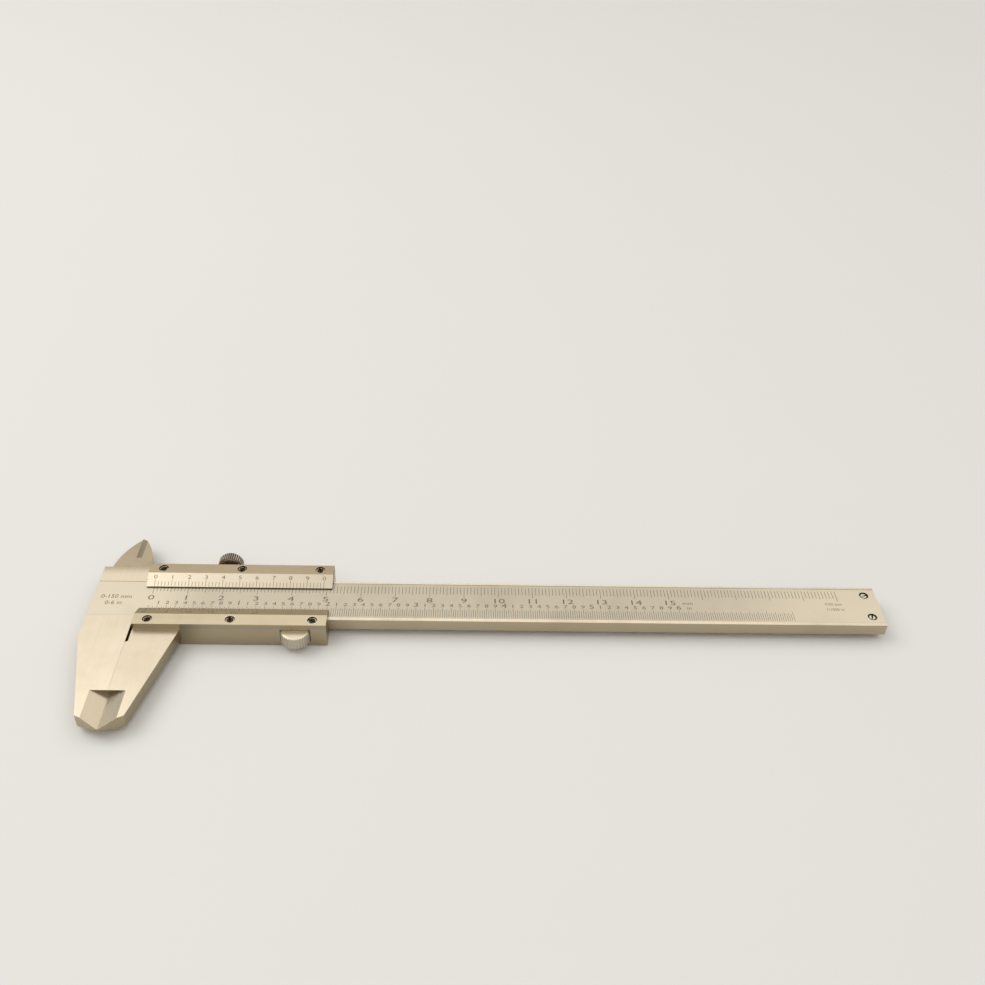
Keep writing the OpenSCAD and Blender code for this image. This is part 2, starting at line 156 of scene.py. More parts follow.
class CaliperView(bpy.types.PropertyGroup):
    """Where the camera stands and what it looks at."""

    elevation: angle("Elevation", "Camera's height above the floor", 37.23)
    azimuth: angle("Azimuth", "Camera's turn about the vertical", -2.22)
    roll: angle("Roll", "Tilt of the horizon", 2.16)
    distance: length("Distance", "From the camera to what it looks at", 0.3601)
    along: length("Aim along the beam", "Point looked at, from the closed jaws", 0.1022)
    above: length("Aim above the beam", "Point looked at, from the beam's centre line", 0.0524)
    lens: FloatProperty(name="Lens", description="Focal length in millimetres", default=40.09, unit="CAMERA")


class CaliperSettings(bpy.types.PropertyGroup):
    """Everything that the sidebar shows."""

    edges: PointerProperty(type=CaliperEdges)
    marks: PointerProperty(type=CaliperMarks)
    colours: PointerProperty(type=CaliperColours)
    view: PointerProperty(type=CaliperView)


# ---- Materials ----

class Wire:
    """A socket in a node tree. Arithmetic on it adds Math nodes."""

    def __init__(self, recipe, socket):
        self.recipe = recipe
        self.socket = socket

    def maths(self, operation, *values):
        """A Math node on these values."""
        return self.recipe.node("ShaderNodeMath", {"operation": operation}, dict(enumerate(values)))

    def __add__(self, other):
        return self.maths("ADD", self, other)

    __radd__ = __add__

    def __sub__(self, other):
        return self.maths("SUBTRACT", self, other)

    def __rsub__(self, other):
        return self.maths("SUBTRACT", other, self)

    def __mul__(self, other):
        return self.maths("MULTIPLY", self, other)

    __rmul__ = __mul__

    def __gt__(self, other):
        return self.maths("GREATER_THAN", self, other)

    def __lt__(self, other):
        return self.maths("LESS_THAN", self, other)

    def __abs__(self):
        return self.maths("ABSOLUTE", self)

    def root(self):
        """The square root."""
        return self.maths("SQRT", self)


class Recipe:
    """Builds a node tree."""

    def __init__(self, tree):
        self.tree = tree
        self.tree.nodes.clear()

    def node(self, kind, settings=None, sockets=None, output=0):
        """A node of that type, with its settings, then the values or links of its sockets."""
        made = self.tree.nodes.new(kind)
        for name, value in (settings or {}).items():
            if name == "stops":
                self.set_stops(made.color_ramp, value)
            else:
                setattr(made, name, value)
        for name, value in (sockets or {}).items():
            if isinstance(value, Wire):
                self.tree.links.new(value.socket, made.inputs[name])
            else:
                made.inputs[name].default_value = value
        return Wire(self, made.outputs[output]) if made.outputs else None

    @staticmethod
    def set_stops(ramp, stops):
        """Sets a ramp's stops, given as (position, colour)."""
        while len(ramp.elements) < len(stops):
            ramp.elements.new(1.0)
        for element, (position, tint) in zip(ramp.elements, stops):
            element.position = position
            element.color = tint

    def coordinates(self, kind="Object"):
        """Where a point of the surface is in its own object."""
        return self.node("ShaderNodeTexCoord", output=kind)

    def parts(self, vector):
        """The x, y and z of a vector."""
        split = self.node("ShaderNodeSeparateXYZ", None, {0: vector})
        return [Wire(self, output) for output in split.socket.node.outputs]

    def noise(self, per_metre, detail=3.0, roughness=0.55):
        """Noise with that many grains per metre along x, y and z, from 0 to 1."""
        stretched = self.node("ShaderNodeMapping", None, {"Vector": self.coordinates(), "Scale": per_metre})
        sockets = {"Vector": stretched, "Scale": 1.0, "Detail": detail, "Roughness": roughness}
        return self.node("ShaderNodeTexNoise", None, sockets)

    def ramp(self, value, low, high):
        """0 where value is under low, 1 where it is over high, and smooth between."""
        sockets = {0: value, 1: low, 2: high, 3: 0.0, 4: 1.0}
        return self.node("ShaderNodeMapRange", {"interpolation_type": "SMOOTHSTEP"}, sockets)

    def mix(self, factor, first, second):
        """A colour between two colours."""
        return self.node("ShaderNodeMix", {"data_type": "RGBA"}, {0: factor, 6: first, 7: second}, output=2)

    def bump(self, height, distance, strength=1.0):
        """Normals of a surface that this height raises, up to distance."""
        sockets = {"Strength": strength, "Distance": distance, "Height": height}
        return self.node("ShaderNodeBump", None, sockets)

    def surface(self, sockets):
        """Ends a material in a Principled shader with these sockets."""
        shader = self.node("ShaderNodeBsdfPrincipled", None, sockets)
        self.node("ShaderNodeOutputMaterial", None, {0: shader})


def tinted(tint, factor):
    """A colour made darker or lighter."""
    return tuple(min(1.0, part * factor) for part in tint[:3]) + (1.0,)


def shadowed(tint):
    """A colour as it looks in a warm shadow."""
    return tint[0] * 0.47, tint[1] * 0.44, tint[2] * 0.37, 1.0


def new_material(name):
    """A material and the recipe that fills it."""
    material = bpy.data.materials.new(name)
    material.use_nodes = True
    return material, Recipe(material.node_tree)


# Grains per metre along x, y and z: along the beam, along the jaws, all round, and clouds of stain.
ALONG_BEAM = (30.0, 1600.0, 1600.0)
ALONG_JAWS = (1600.0, 40.0, 1600.0)
ALL_ROUND = (6000.0, 6000.0, 6000.0)
CLOUDS = (90.0, 90.0, 90.0)
GRAIN_DEPTH = 0.000004


def plain_metal(name, tint, roughness, grain, side_shade=1.0):
    """A finish that is the same all over a piece but for painted shade on its sides."""
    material, recipe = new_material(name)
    clouds = recipe.ramp(recipe.noise(CLOUDS, detail=4.0), 0.4, 0.75)
    lines = recipe.noise(grain, detail=2.0)
    shade = recipe.mix(clouds * 0.5 + lines * 0.4, tinted(tint, 1.06), tinted(tint, 0.86))
    facing = abs(recipe.parts(recipe.coordinates("Normal"))[2])
    # Painted shade on the sides, as deep as the side factor says.
    side = 1.0 - recipe.ramp(facing, 0.2, 0.8)
    recipe.surface({
        "Base Color": recipe.mix(side, shade, recipe.mix(lines, tinted(tint, side_shade * 1.06),
                                                         tinted(tint, side_shade * 0.86))),
        "Metallic": 1.0,
        "Roughness": roughness + (lines - 0.5) * 0.16 + clouds * 0.05,
        "Normal": recipe.bump(lines, GRAIN_DEPTH),
    })
    return material


# Where the finishes and the painted shade of the beam and slider begin and end, in metres from the zero
# point.
BAND_TOP, BAND_BOTTOM = -0.00003, -0.00009      # depth of the sunk band behind the scales
HALF_BAND, RAIL_EDGE = 0.0069, 0.0085           # from the centre line to the polished rail, and past it
RAIL_START = 0.0005
BAND_CORNER = (0.00688, 0.00708)                # where painted shade darkens the band's edge at the step
HEAD_EDGE = -0.03
STOP_HOLES = (0.205, 0.214)                     # along the beam, the holes of the end stop's screws
STOP_HOLE_FLOOR = -0.0039
DARKER_SPAN = (0.003, 0.020, 0.150, 0.200)             # where the band turns darker along the beam, and where that fades
LIGHTER_END = (0.170, 0.212)                          # where the band turns lighter again
KNIFE_START, KNIFE_WIDTH = -0.0353, 0.0048      # knife edges of the outside jaws
WALL_MIDDLE, WALL_REACH = 0.0355, 0.0010        # step where the knife edges begin
NIB_FADE, NIB_KNIFE_START = (0.0090, 0.0140), 0.0172
JAW_START, JAW_SHADE = -0.0085, (-0.020, -0.010)


def body_steel(settings):
    """The beam's and slider's steel: satin behind the scales, ground on the jaws, polished on the rails,
    with painted shade in its holes and corners and on its sides, knife bevels, nibs and moving jaw.
    """
    colours = settings.colours
    material, recipe = new_material("body_steel")
    x, y, z = recipe.parts(recipe.coordinates())
    normal = recipe.parts(recipe.coordinates("Normal"))
    facing = normal[2]
    along, across, depth = x - ZERO.x, y - ZERO.y, z - ZERO.z
    aside = abs(across)
    band = (depth < BAND_TOP) * (depth > BAND_BOTTOM) * (facing > 0.99)
    front = (depth > BAND_TOP) * (facing > 0.99)
    rail = front * (aside > HALF_BAND) * (aside < RAIL_EDGE) * (along > RAIL_START)
    # Painted shade along the band's edge, at the step up to the rail.
    corner = band * recipe.ramp(aside, *BAND_CORNER) * (along > HEAD_EDGE)
    # Painted shade in the end stop's screw holes.
    hole_shade = (depth < BAND_BOTTOM) * (depth > STOP_HOLE_FLOOR) * (aside < HALF_BAND)
    hole_shade = hole_shade * (along > STOP_HOLES[0]) * (along < STOP_HOLES[1])
    clouds = recipe.ramp(recipe.noise(CLOUDS, detail=4.0), 0.42, 0.75)
    beam_lines = recipe.noise(ALONG_BEAM, detail=6.0)
    jaw_lines = recipe.noise(ALONG_JAWS, detail=6.0)
    blasted = recipe.noise(ALL_ROUND, detail=2.0)
    ground = recipe.mix(clouds * 0.4 + jaw_lines * 0.6,
                        tinted(colours.steel, 1.10), tinted(colours.steel, 0.84))
    # The band is darker along the beam's middle and lighter towards its far end.
    worn = recipe.ramp(along, *DARKER_SPAN[:2]) - recipe.ramp(along, *DARKER_SPAN[2:])
    satin = recipe.mix(worn * 0.6 + clouds * 0.25 + blasted * 0.25,
                       tinted(colours.satin, 1.12), tinted(colours.satin, 0.82))
    lighter_end = recipe.ramp(along, *LIGHTER_END)
    satin = recipe.mix(lighter_end * 0.45, satin, tinted(colours.steel, 1.12))
    near_edge = abs(along) < KNIFE_WIDTH
    # Painted shadow on the wall where the knife edges begin.
    notch_wall_shadow = (abs(across + WALL_MIDDLE) < WALL_REACH) * near_edge * (normal[1] < -0.9)
    # Painted shade of the band's edge, the holes and that wall, in the painted shade colour.
    recess_shade = recipe.ramp(corner * 0.55 + hole_shade * 0.9 + notch_wall_shadow * 0.55, 0.0, 1.0)
    sloping = (facing < 0.985) * (facing > 0.3)
    # Painted shade on the knife bevels of the outside jaws.
    knife = (across < KNIFE_START) * near_edge * sloping
    nib = recipe.ramp(across, *NIB_FADE)
    nib_knife = (across > NIB_KNIFE_START) * sloping
    # Painted shade on the sides of the beam and slider.
    side = 1.0 - recipe.ramp(abs(facing), 0.1, 0.5)
    # The knife bevels' painted shade is deeper on the fixed jaw than on the moving jaw.
    knife = knife * (0.46 - 0.44 * (along > 0.0))
    nib_shade = nib_knife * 0.3 + nib * (0.64 + clouds * 0.20)
    # Painted shade on the moving jaw, deeper near the slider.
    moving = (along > 0.0) * (across < JAW_START) * (0.20 + 0.14 * recipe.ramp(across, *JAW_SHADE))
    # All the painted shade, on the knife bevels, nibs, moving jaw and sides, goes to the shadowed colour.
    shade = recipe.ramp(knife + nib_shade + moving + side * 0.8, 0.0, 1.0)
    ground = recipe.mix(shade, ground, shadowed(colours.steel))
    rough_ground = colours.gloss + (jaw_lines - 0.5) * 0.12 + clouds * 0.06
    rough_satin = 0.42 + (blasted - 0.5) * 0.12 + clouds * 0.05
    rough_rail = 0.16 + beam_lines * 0.10
    roughness = rough_ground * (1.0 - band) * (1.0 - rail) + rough_satin * band + rough_rail * rail
    grain = jaw_lines * (1.0 - band) * (1.0 - rail) + blasted * band + beam_lines * rail
    recipe.surface({
        "Base Color": recipe.mix(recess_shade, recipe.mix(band, ground, satin), tuple(colours.grime)),
        "Metallic": 1.0,
        "Roughness": roughness,
        "Normal": recipe.bump(grain, GRAIN_DEPTH),
    })
    return material


SCREW_ROW = (0.0090, 0.0124)                    # across from the centre line, the holes in the plates
PLATE_MARGIN = 0.0005


def plate_steel(name, grime, flat_tint, bevel_tint, flat_roughness, bevel_roughness, flat_grain):
    """A vernier plate's steel, with one finish on its flat and another on its sloping scale, and painted
    shade in its screw holes and on its sides.
    """
    material, recipe = new_material(name)
    facing = recipe.parts(recipe.coordinates("Normal"))
    x, y = recipe.parts(recipe.coordinates())[:2]
    aside = abs(y - ZERO.y)
    screw_row = (aside > SCREW_ROW[0]) * (aside < SCREW_ROW[1])
    span = screw_row * (x > METRIC_LOW.x + PLATE_MARGIN) * (x < METRIC_HIGH.x - PLATE_MARGIN)
    # Painted shade in the screw holes.
    hole_shade = span * (abs(facing[2]) < 0.3)
    # Painted shade on the plate's sides.
    side = 1.0 - recipe.ramp(abs(facing[2]), 0.1, 0.5)
    bevel = recipe.ramp(abs(facing[1]), 0.2, 0.3) * (facing[2] > 0.5)
    clouds = recipe.ramp(recipe.noise(CLOUDS, detail=4.0), 0.42, 0.75)
    lines = recipe.noise(flat_grain, detail=5.0)
    blasted = recipe.noise(ALL_ROUND, detail=2.0)
    flat = recipe.mix(clouds * 0.3 + lines * 0.7, tinted(flat_tint, 1.14), tinted(flat_tint, 0.82))
    slope = recipe.mix(clouds * 0.4 + blasted * 0.4, tinted(bevel_tint, 1.05), tinted(bevel_tint, 0.90))
    flat_rough = flat_roughness + (lines - 0.5) * 0.14
    bevel_rough = bevel_roughness + (blasted - 0.5) * 0.10
    recipe.surface({
        "Base Color": recipe.mix(hole_shade * 0.9, recipe.mix(side * 0.8, recipe.mix(bevel, flat, slope),
                                                        tinted(flat_tint, 0.40)), tuple(grime)),
        "Metallic": 1.0,
        "Roughness": flat_rough * (1.0 - bevel) + bevel_rough * bevel,
        "Normal": recipe.bump(lines * (1.0 - bevel) + blasted * bevel, GRAIN_DEPTH),
    })
    return material


KNURL_DEPTHS = (0.00002, 0.00014, 0.00017, 0.00022)  # below the rim: worn crests, then grooves with painted shade
NECK_RADII = (0.0020, 0.0024)                   # where the painted shade on the neck fades
LOCK_FACE = 0.002                               # thickness of the head kept free of painted shade


def lock_steel(name, colours):
    """The locking screw's steel: knurl worn bright on its crests, painted shade in its grooves, in its
    recess and on its neck.
    """
    material, recipe = new_material(name)
    low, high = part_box("lock_screw")
    x, y, z = recipe.parts(recipe.coordinates())
    out_x = x - (low.x + high.x) / 2
    out_z = z - (low.z + high.z) / 2
    reach = (out_x * out_x + out_z * out_z).root()
    radius = (high.x - low.x) / 2
    specks = recipe.noise(ALL_ROUND, detail=3.0)
    crest = recipe.ramp(reach, radius - KNURL_DEPTHS[1], radius - KNURL_DEPTHS[0])
    groove = recipe.ramp(reach, radius - KNURL_DEPTHS[3], radius - KNURL_DEPTHS[2]) * (1.0 - crest)
    neck_shade = (1.0 - recipe.ramp(reach, *NECK_RADII)) * (y < high.y - LOCK_FACE)
    steel = recipe.mix(specks, tinted(colours.knurl, 1.15), tinted(colours.knurl, 0.80))
    # Painted shade in the knurl's grooves.
    steel = recipe.mix(crest * 0.8, recipe.mix(groove * 0.75, steel, tuple(colours.grime)),
                       tinted(colours.steel, 0.9))
    recipe.surface({
        "Base Color": recipe.mix(neck_shade * 0.8, steel, tuple(colours.grime)),
        "Metallic": 1.0,
        "Roughness": 0.30 + specks * 0.14,
        "Normal": recipe.bump(specks, GRAIN_DEPTH),
    })
    return material


def screw_steel(name, face, rim, roughness, grime, rim_start=0.36, patchy=1.0):
    """A slotted screw's steel: a rim on its head in the rim colour, worn bright on the black screws and a
    painted shadow of the hole on the end stop's, and painted shade in its slot.
    """
    material, recipe = new_material(name)
    blotches = recipe.noise((900.0, 900.0, 900.0), detail=4.0)
    across, along, up = recipe.parts(recipe.coordinates("Generated"))
    facing = abs(recipe.parts(recipe.coordinates("Normal"))[2])
    reach = ((across - 0.5) * (across - 0.5) + (along - 0.5) * (along - 0.5)).root()
    ring = recipe.ramp(reach, rim_start, rim_start + 0.05) * (1.0 - recipe.ramp(reach, 0.47, 0.495))
    # The rim ring in the rim colour: worn bright on the black screws, a painted shadow of the hole on the
    # end stop's screws.
    rim_wear_and_shade = ring * (1.0 - patchy * (1.0 - recipe.ramp(blotches, 0.30, 0.55)))
    # Painted shade on the floor of the slot.
    slot = (facing > 0.9) * (up < 0.95) * (up > 0.05) * 0.85
    head = recipe.mix(rim_wear_and_shade, recipe.mix(blotches, tinted(face, 0.75), tinted(face, 1.3)), rim)
    recipe.surface({
        "Base Color": recipe.mix(slot, head, tuple(grime)),
        "Metallic": 1.0,
        "Roughness": roughness + blotches * 0.12,
        "Normal": recipe.bump(blotches, GRAIN_DEPTH),
    })
    return material


def scale_ink(settings):
    """Dark fill of the engraved lines, a little uneven."""
    tint = settings.colours.ink
    material, recipe = new_material("scale_ink")
    specks = recipe.noise(ALL_ROUND, detail=3.0)
    recipe.surface({
        "Base Color": recipe.mix(specks, tinted(tint, 0.7), tinted(tint, 1.8)),
        "Roughness": 0.55 + specks * 0.2,
        "Normal": recipe.bump(specks, 0.000003),
    })
    return material


def floor_paper(settings):
    """Plain pale floor with the faintest mottling."""
    tint = settings.colours.floor
    material, recipe = new_material("pale_floor")
    mottle = recipe.noise((9.0, 9.0, 9.0), detail=4.0)
    recipe.surface({
        "Base Color": recipe.mix(mottle, tinted(tint, 0.99), tinted(tint, 1.01)),
        "Roughness": 0.75,
    })
    return material


def finish(settings, name):
    """The named material, made the first time that it is asked for."""
    made = bpy.data.materials.get(name)
    if made:
        return made
    colours = settings.colours
    makers = {
        "body_steel": lambda: body_steel(settings),
        "metric_plate_steel": lambda: plate_steel(
            name, colours.grime, colours.matt_plate, tinted(colours.steel, 0.74), 0.44, 0.32, ALL_ROUND
        ),
        "inch_plate_steel": lambda: plate_steel(
            name, colours.grime, colours.plate, tinted(colours.matt_plate, 1.3), 0.30, 0.36, ALONG_BEAM
        ),
        "knurl_steel": lambda: lock_steel(name, colours),
        # The roller's rim gets painted shade.
        "roller_steel": lambda: plain_metal(name, colours.roller, 0.30, ALL_ROUND, side_shade=0.62),
        "bright_steel": lambda: plain_metal(name, colours.steel, 0.22, ALL_ROUND),
        "rod_steel": lambda: plain_metal(name, colours.steel, 0.26, ALONG_BEAM),
        "black_screw": lambda: screw_steel(
            name, colours.screw, tinted(colours.plate, 0.9), 0.34, colours.grime
        ),
        # The end stop's screws get a dark rim: a painted shadow of the hole round the head.
        "bright_screw_steel": lambda: screw_steel(
            name, tinted(colours.steel, 1.05), tuple(colours.grime), 0.24, colours.grime,
            rim_start=0.31, patchy=0.3
        ),
        "turned_brass": lambda: plain_metal(name, colours.brass, 0.30, ALL_ROUND),
        "scale_ink": lambda: scale_ink(settings),
        "pale_floor": lambda: floor_paper(settings),
    }
    return makers[name]()


# ---- Meshes ----

WELD = 1e-6
FLAT_ANGLE = math.radians(0.6)
ROUNDED_ANGLE = math.radians(20)
KNURL_CREASE = math.radians(28)


def smooth_faces():
    """Geometry nodes that make every face smooth, for the weighted normals to shade."""
    name = "smooth_faces"
    group = bpy.data.node_groups.get(name)
    if not group:
        group = bpy.data.node_groups.new(name, "GeometryNodeTree")
        for flow in ("INPUT", "OUTPUT"):
            group.interface.new_socket("Geometry", in_out=flow, socket_type="NodeSocketGeometry")
        recipe = Recipe(group)
        shape = recipe.node("NodeGroupInput")
        smooth = recipe.node("GeometryNodeSetShadeSmooth", None, {0: shape, "Shade Smooth": True})
        recipe.node("NodeGroupOutput", None, {0: smooth})
    return group


def weighted_normals(piece):
    """Keeps large faces flat and lets the rounded edges turn between them."""
    weighted = piece.modifiers.new("flat_faces", "WEIGHTED_NORMAL")
    weighted.keep_sharp = True
    weighted.weight = 90


def refine(settings, node, material, width):
    """Gives a CAD solid its finish, and rounds its edges without touching its own mesh."""
    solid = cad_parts[node]
    for slot in solid.material_slots:
        slot.material = finish(settings, material)
    solid.modifiers.new("weld", "WELD").merge_threshold = WELD
    flat = solid.modifiers.new("whole_faces", "DECIMATE")
    flat.decimate_type = "DISSOLVE"
    flat.angle_limit = FLAT_ANGLE
    rounded = solid.modifiers.new("rounded_edges", "BEVEL")
    rounded.width = width
    rounded.segments = 2
    rounded.limit_method = "ANGLE"
    rounded.angle_limit = ROUNDED_ANGLE
    solid.modifiers.new("smooth_faces", "NODES").node_group = smooth_faces()
    weighted_normals(solid)


def new_piece(name, mesh, material, body, slot, *nodes):
    """Makes an object of a mesh, gives it its finish and hangs it on its body."""
    piece = bpy.data.objects.new(name, mesh)
    bpy.context.scene.collection.objects.link(piece)
    piece.data.materials.append(material)
    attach(piece, body)
    if nodes:
        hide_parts(*nodes)
    return piece


def mesh_of(bm, name):
    """Turns a bmesh into a mesh that is smooth but for its creases."""
    bmesh.ops.recalc_face_normals(bm, faces=bm.faces)
    for face in bm.faces:
        face.smooth = True
    for edge in bm.edges:
        edge.smooth = not (edge.is_manifold and edge.calc_face_angle() > KNURL_CREASE)
    mesh = bpy.data.meshes.new(name)
    bm.to_mesh(mesh)
    bm.free()
    return mesh


def turned(profile, steps, pose):
    """A turned skin. profile lists (height, radius) pairs, where radius may be a function of the angle."""
    bm = bmesh.new()
    rings = []
    for height, radius in profile:
        ring = []
        for step in range(steps):
            angle = math.tau * step / steps
            reach = radius(angle) if callable(radius) else radius
            corner = Vector((reach * math.cos(angle), reach * math.sin(angle), height))
            ring.append(bm.verts.new(pose @ corner))
        rings.append(ring)
    for lower, upper in zip(rings, rings[1:]):
        for step in range(steps):
            after = (step + 1) % steps
            bm.faces.new((lower[step], lower[after], upper[after], upper[step]))
    return bm, rings


def knurl(radius, depth, teeth):
    """Radius of a straight knurl with rounded teeth, as a function of the angle."""
    return lambda angle: radius - depth * (0.5 - 0.5 * math.cos(teeth * angle)) ** 0.8


# ---- Marks ----

class Marks:
    """Lines and numbers inlaid in one flat face, gathered into one mesh."""

    def __init__(self, settings, node, x, y):
        self.sizes = settings.marks
        self.mesh = bmesh.new()
        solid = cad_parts[node].data
        tree = BVHTree.FromPolygons([v.co for v in solid.vertices], [p.vertices for p in solid.polygons])
        above = 50.0
        spot, normal = tree.ray_cast(place(x, y, above), Vector((0, 0, -1)))[:2]
        if spot is None:
            raise RuntimeError(f"no face of {node} under the marks")
        self.spot = spot
        self.normal = normal.normalized()
        self.up = Vector((0.0, self.normal.z, -self.normal.y)).normalized()

    def pose(self, x, y):
        """Stands at a point of the face: x and y as they are read from above, in millimetres."""
        target = place(x, y)
        rise = (self.spot - target).dot(self.normal) / self.normal.z
        corner = Vector((target.x, target.y, target.z + rise)) + self.normal * self.sizes.line_height
        turn = Matrix((Vector((1, 0, 0)), self.up, self.normal)).transposed().to_4x4()
        return Matrix.Translation(corner) @ turn

    def line(self, x, start, end, width_share=1.0):
        """A line across the scale at x, from y = start to y = end."""
        half = self.sizes.line_width * width_share / 2
        length = abs(end - start) * MM / self.normal.z
        pose = self.pose(x, min(start, end))
        deep = -3 * self.sizes.line_height
        outline = ((-half, 0), (half, 0), (half, length), (-half, length))
        corners = [
            self.mesh.verts.new(pose @ Vector((side, along, height)))
            for height in (deep, 0.0) for side, along in outline
        ]
        for face in ((3, 2, 1, 0), (4, 5, 6, 7), (0, 1, 5, 4), (1, 2, 6, 5), (2, 3, 7, 6), (3, 0, 4, 7)):
            self.mesh.faces.new([corners[i] for i in face])

    def words(self, text, x, y, height, wide=1.0):
        """Lettering centred on x and y, with digits of that height in metres."""
        curve = bpy.data.curves.new("lettering", "FONT")
        curve.body = text
        curve.align_x = "CENTER"
        curve.align_y = "CENTER"
        curve.resolution_u = 3
        curve.extrude = 0.01
        holder = bpy.data.objects.new("lettering", curve)
        bpy.context.scene.collection.objects.link(holder)
        bpy.context.view_layer.update()
        flat = bpy.data.meshes.new_from_object(holder)
        tops = [vertex.co.y for vertex in flat.vertices]
        middle = (max(tops) + min(tops)) / 2
        size = height / (max(tops) - min(tops))
        thickness = 2 * self.sizes.line_height / curve.extrude
        flat.transform(Matrix.Translation((0, -middle, -curve.extrude)))
        flat.transform(Matrix.Diagonal((size * wide, size, thickness, 1)))
        flat.transform(self.pose(x, y))
        self.mesh.from_mesh(flat)
        bpy.data.objects.remove(holder)
        bpy.data.curves.remove(curve)
        bpy.data.meshes.remove(flat)

    def piece(self, settings, name, body, slot):
        """Ends the group as one piece."""
        bmesh.ops.remove_doubles(self.mesh, verts=self.mesh.verts, dist=1e-8)
        return new_piece(name, mesh_of(self.mesh, name), finish(settings, "scale_ink"), body, slot)


def pick(index, *choices):
    """The first value whose divisor divides the index; choices are (divisor, value) pairs."""
    return next(value for divisor, value in choices if index % divisor == 0)


# ---- Operators ----

class CALIPER_OT_beam(bpy.types.Operator):
    """Beam with the fixed jaws"""

    bl_idname = "caliper.beam"
    bl_label = "Beam"

    def execute(self, context):
        settings = context.scene.caliper
        refine(settings, "beam", "body_steel", settings.edges.body)
        return {"FINISHED"}


class CALIPER_OT_slider(bpy.types.Operator):
    """Slider frame with the moving jaws"""

    bl_idname = "caliper.slider"
    bl_label = "Slider"

    def execute(self, context):
        settings = context.scene.caliper
        refine(settings, "slider_frame", "body_steel", settings.edges.body)
        return {"FINISHED"}


class CALIPER_OT_plates(bpy.types.Operator):
    """Metric and inch vernier plates"""

    bl_idname = "caliper.plates"
    bl_label = "Vernier Plates"

    def execute(self, context):
        settings = context.scene.caliper
        for unit in ("metric", "inch"):
            refine(settings, f"{unit}_vernier_plate", f"{unit}_plate_steel", settings.edges.plate)
        return {"FINISHED"}


class CALIPER_OT_screws(bpy.types.Operator):
    """Slotted screws of the plates, the depth rod and the end stop"""

    bl_idname = "caliper.screws"
    bl_label = "Screws"

    def execute(self, context):
        settings = context.scene.caliper
        groups = (
            ("metric_plate_screw", 3, "black_screw"),
            ("inch_plate_screw", 3, "black_screw"),
            ("depth_rod_screw", 2, "black_screw"),
            ("end_stop_screw", 2, "bright_screw_steel"),
        )
        for node, count, material in groups:
            for number in range(1, count + 1):
                refine(settings, f"{node}_{number}", material, settings.edges.screw)
        return {"FINISHED"}


class CALIPER_OT_small_parts(bpy.types.Operator):
    """Depth rod, end stop, gib spring, lock pad and roller axle"""

    bl_idname = "caliper.small_parts"
    bl_label = "Small Parts"

    def execute(self, context):
        settings = context.scene.caliper
        parts = (
            ("depth_rod", "rod_steel"),
            ("end_stop_plate", "rod_steel"),
            ("gib_spring", "turned_brass"),
            ("lock_pad", "turned_brass"),
            ("roller_axle", "bright_steel"),
        )
        for node, material in parts:
            refine(settings, node, material, settings.edges.plate)
        return {"FINISHED"}


class CALIPER_OT_roller(bpy.types.Operator):
    """Thumb roller with its straight knurl"""

    bl_idname = "caliper.roller"
    bl_label = "Thumb Roller"

    def execute(self, context):
        settings = context.scene.caliper
        low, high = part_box("thumb_roller")
        axle_low, axle_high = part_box("roller_axle")
        radius = (high.x - low.x) / 2
        axle_gap = 0.00004
        bore = (axle_high.x - axle_low.x) / 2 + axle_gap
        depth = 0.00016
        rim = 0.0003
        teeth = 32
        tooth = knurl(radius, depth, teeth)
        height = high.z - low.z
        shoulder = radius - depth
        profile = [
            (0.0, bore), (0.0, shoulder - rim), (rim * 0.45, shoulder - rim * 0.3), (rim, tooth),
            (height - rim, tooth), (height - rim * 0.45, shoulder - rim * 0.3), (height, shoulder - rim),
            (height, bore),
        ]
        centre = Vector(((low.x + high.x) / 2, (low.y + high.y) / 2, low.z))
        bm, rings = turned(profile, teeth * 8, Matrix.Translation(centre))
        for lower, upper, after in zip(rings[-1], rings[0], range(1, len(rings[0]) + 1)):
            after %= len(rings[0])
            bm.faces.new((lower, rings[-1][after], rings[0][after], upper))
        piece = new_piece("thumb_roller_knurled", mesh_of(bm, "thumb_roller_knurled"),
                          finish(settings, "roller_steel"), "thumb_roller", "knurled_steel", "thumb_roller")
        weighted_normals(piece)
        return {"FINISHED"}


